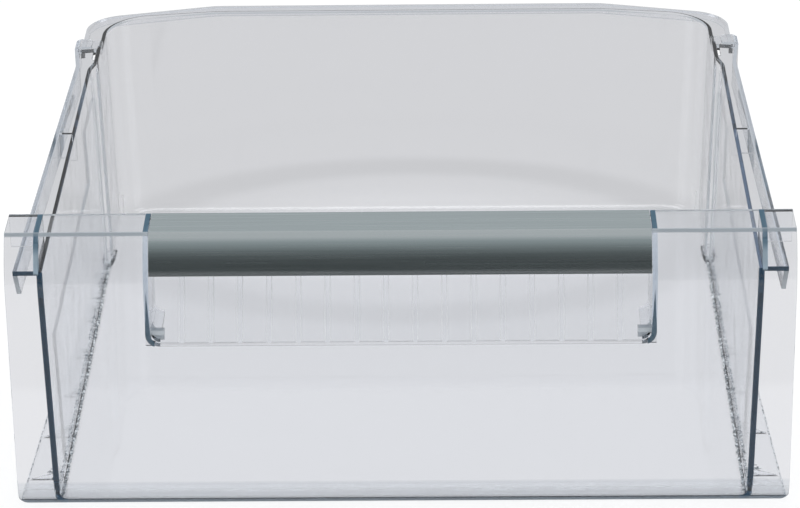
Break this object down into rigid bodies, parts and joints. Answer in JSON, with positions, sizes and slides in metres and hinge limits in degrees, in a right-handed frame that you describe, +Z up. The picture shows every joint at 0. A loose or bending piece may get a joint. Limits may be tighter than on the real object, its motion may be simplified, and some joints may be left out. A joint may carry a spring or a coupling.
{
  "type": "freezer drawer",
  "caption": "Clear plastic pull-out drawer for a fridge or freezer: open bin with side runner flanges, hooded front panel and metal grip strip over a ribbed finger recess.",
  "frame": {"origin": "on the floor, midway across the width and midway between the front face and the back rim", "axes": "+X across the width, +Y from the front panel towards the back, +Z up"},
  "size_m": [0.44, 0.406, 0.164],
  "materials": {
    "clear_plastic": "clear gloss",
    "satin_metal": "satin anodised"
  },
  "bodies": {
    "root": {"bin": "clear_plastic", "front_panel": "clear_plastic", "handle_strip": "satin_metal"}
  },
  "joints": []
}
